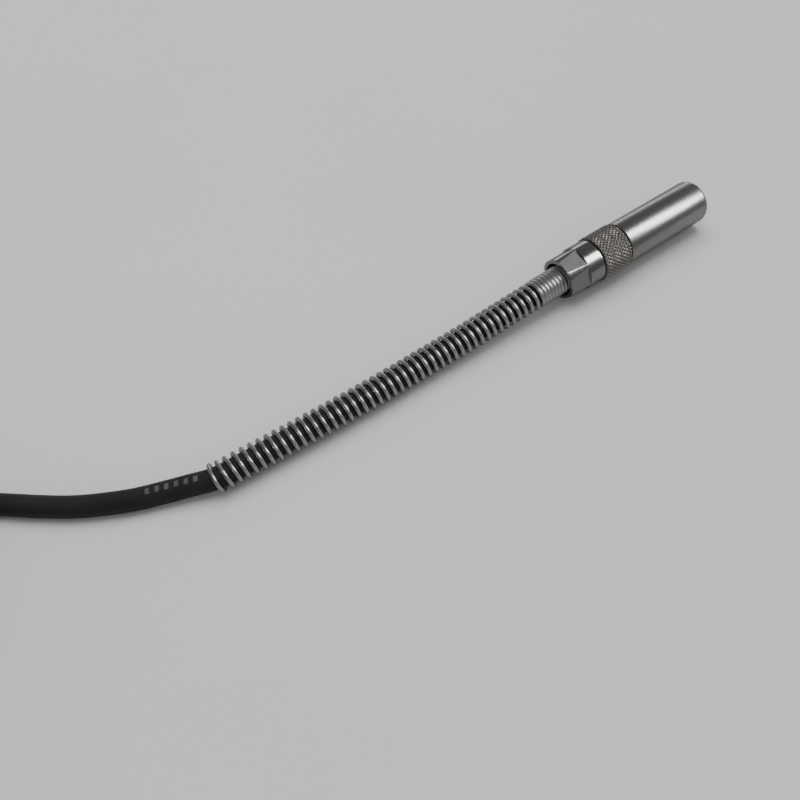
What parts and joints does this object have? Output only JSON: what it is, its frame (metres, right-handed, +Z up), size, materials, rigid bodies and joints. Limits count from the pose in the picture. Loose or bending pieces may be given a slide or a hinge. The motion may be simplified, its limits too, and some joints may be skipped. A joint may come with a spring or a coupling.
{
  "type": "cabled thermocouple probe",
  "caption": "Stainless thermocouple probe head with a knurled captive nut, a spring strain relief and a flexible black lead that is coiled and ends in a flat-pin plug.",
  "frame": {"origin": "on the surface that the probe lies on, below the middle of its metal head", "axes": "+X along the head towards its tip, +Z up from the surface"},
  "size_m": [0.3134, 0.082, 0.028],
  "materials": {
    "turned_steel": "turned stainless, fine circumferential lines",
    "knurled_steel": "diamond knurled stainless",
    "spring_steel": "bright drawn wire",
    "cable_jacket": "smooth satin jacket",
    "rubber": "matte",
    "ceramic": "fired alumina",
    "core_white": "smooth",
    "core_red": "smooth",
    "iron_alloy": "drawn",
    "constantan": "drawn",
    "tip_brass": "turned",
    "plug_plastic": "fine moulded texture",
    "tie_nylon": "moulded nylon"
  },
  "bodies": {
    "gland": {"gland_body": "turned_steel", "strain_relief_spring": "spring_steel", "barrel_seal": "rubber", "cable_grommet": "rubber", "grommet_washer": "turned_steel", "junction_bead": "constantan", "ceramic_bead_1": "ceramic", "ceramic_bead_2": "ceramic", "ceramic_bead_3": "ceramic", "ceramic_bead_4": "ceramic", "core_positive": "core_white", "core_negative": "core_red", "splice_crimp_positive": "turned_steel", "splice_crimp_negative": "turned_steel", "splice_sleeve_positive": "core_white", "splice_sleeve_negative": "core_red", "thermoelement_positive": "iron_alloy", "thermoelement_negative": "constantan", "cable_run": "cable_jacket", "cable_coil": "cable_jacket", "cable_tail": "cable_jacket", "coil_tie_1": "tie_nylon", "coil_tie_2": "tie_nylon", "plug_base": "plug_plastic", "plug_cover": "plug_plastic", "plug_pin_positive": "iron_alloy", "plug_pin_negative": "constantan", "terminal_screw_positive": "tip_brass", "terminal_screw_negative": "tip_brass", "cover_screw": "turned_steel", "clamp_jaw_lower": "plug_plastic", "clamp_jaw_upper": "plug_plastic", "clamp_screw_1": "turned_steel", "clamp_screw_2": "turned_steel"},
    "barrel": {"probe_barrel": "turned_steel", "tip_slug": "tip_brass", "retaining_ring": "spring_steel"},
    "nut": {"coupling_nut": "knurled_steel"}
  },
  "joints": [
    {"name": "barrel_travel", "type": "slide", "parent": "gland", "child": "barrel", "axis": [1, 0, 0], "range_m": [0, 0.003]},
    {"name": "nut_turn", "type": "hinge", "parent": "barrel", "child": "nut", "pos_m": [-0.0096, 0, 0.0071], "axis": [1, 0, 0], "range_deg": [0, 1116]}
  ],
  "couplings": [
    {"joint": "nut_turn", "follows": "barrel_travel", "rad_per_m": 6283.2}
  ]
}
